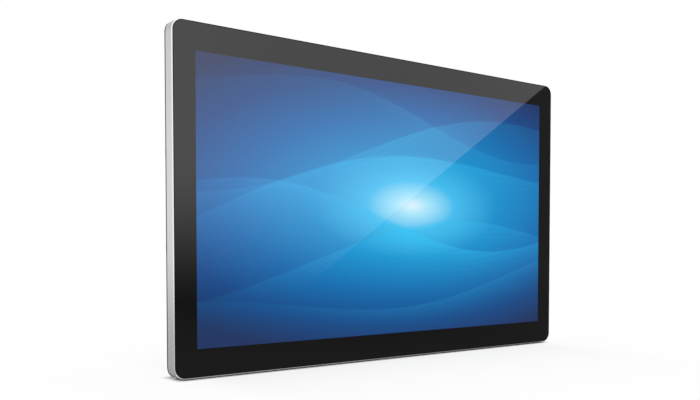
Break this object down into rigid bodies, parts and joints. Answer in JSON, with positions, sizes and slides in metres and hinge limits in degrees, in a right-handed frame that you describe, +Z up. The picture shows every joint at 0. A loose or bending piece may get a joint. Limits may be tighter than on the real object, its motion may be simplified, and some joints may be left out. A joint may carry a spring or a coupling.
{
  "type": "all-in-one computer",
  "caption": "Slab-shaped all-in-one touch computer with a black-bordered glass front, thin silver trim band and black rear housing, standing on its flat lower edge.",
  "frame": {"origin": "on the floor under the middle of the bounding box", "axes": "+X to the right as seen from the front, +Y from the screen to the back, +Z up"},
  "size_m": [0.5224, 0.046, 0.3222],
  "materials": {
    "clear_glass": "polished",
    "black_print": "printed",
    "black_foam": "matt",
    "clear_film": "clear",
    "picture": "lit",
    "white_film": "matt",
    "black_steel": "satin",
    "led_white": "satin",
    "silver_band": "satin anodised",
    "zinc_steel": "zinc plated",
    "screw_steel": "plated",
    "dark_steel": "black oxide",
    "brass_post": "machined",
    "black_cover": "fine texture",
    "button_black": "satin",
    "board_green": "solder mask",
    "chip_black": "matt",
    "copper": "bare copper",
    "fin_alu": "bare",
    "fan_black": "moulded",
    "socket_steel": "nickel plated",
    "flex_amber": "film",
    "cable_black": "matt",
    "foot_rubber": "matt"
  },
  "bodies": {
    "unit": {"cover_glass": "clear_glass", "border_mask": "black_print", "glass_tape": "black_foam", "touch_sensor": "clear_film", "lcd_front_frame": "black_steel", "lcd_cell": "picture", "panel_mould_frame": "white_film", "optical_films": "white_film", "light_guide": "clear_film", "led_bar": "led_white", "reflector_sheet": "white_film", "lcd_back_pan": "zinc_steel", "lcd_driver_board": "board_green", "trim_band": "silver_band", "lcd_bracket_left": "zinc_steel", "lcd_bracket_right": "zinc_steel", "frame_screws": "screw_steel", "main_chassis": "zinc_steel", "chassis_screws": "screw_steel", "mount_plate": "zinc_steel", "mount_posts": "screw_steel", "rear_cover": "black_cover", "cover_posts": "brass_post", "cover_screws": "dark_steel", "mainboard": "board_green", "board_posts": "brass_post", "board_screws": "screw_steel", "processor": "chip_black", "heat_plate": "copper", "heat_pipe": "copper", "fin_stack": "fin_alu", "fan_housing": "fan_black", "fan_lid": "zinc_steel", "fan_bearing": "brass_post", "fan_stator": "copper", "memory_socket": "fan_black", "memory_module": "board_green", "drive_module": "board_green", "radio_module": "board_green", "card_screws": "screw_steel", "clock_cell": "socket_steel", "shield_plate": "zinc_steel", "usb_sockets": "socket_steel", "network_socket": "socket_steel", "video_socket": "socket_steel", "power_socket": "fan_black", "audio_socket": "fan_black", "touch_board": "board_green", "touch_tail": "flex_amber", "display_cable": "cable_black", "button_board": "board_green", "speaker_left": "fan_black", "speaker_right": "fan_black", "speaker_wires": "cable_black", "lock_plate": "zinc_steel", "rubber_feet": "foot_rubber"},
    "power_key": {"power_button": "button_black"},
    "volume_up_key": {"volume_up_button": "button_black"},
    "volume_down_key": {"volume_down_button": "button_black"},
    "fan": {"fan_rotor": "fan_black"}
  },
  "joints": [
    {"name": "power_press", "type": "slide", "parent": "unit", "child": "power_key", "axis": [0, -1, 0], "range_m": [0, 0.0008], "stiffness_N_per_m": 1500, "springref_m": -0.0003},
    {"name": "volume_up_press", "type": "slide", "parent": "unit", "child": "volume_up_key", "axis": [0, -1, 0], "range_m": [0, 0.0008], "stiffness_N_per_m": 1500, "springref_m": -0.0003},
    {"name": "volume_down_press", "type": "slide", "parent": "unit", "child": "volume_down_key", "axis": [0, -1, 0], "range_m": [0, 0.0008], "stiffness_N_per_m": 1500, "springref_m": -0.0003},
    {"name": "fan_spin", "type": "hinge", "parent": "unit", "child": "fan", "pos_m": [0.112, 0.013, 0.19895], "axis": [0, 1, 0], "continuous": true}
  ]
}
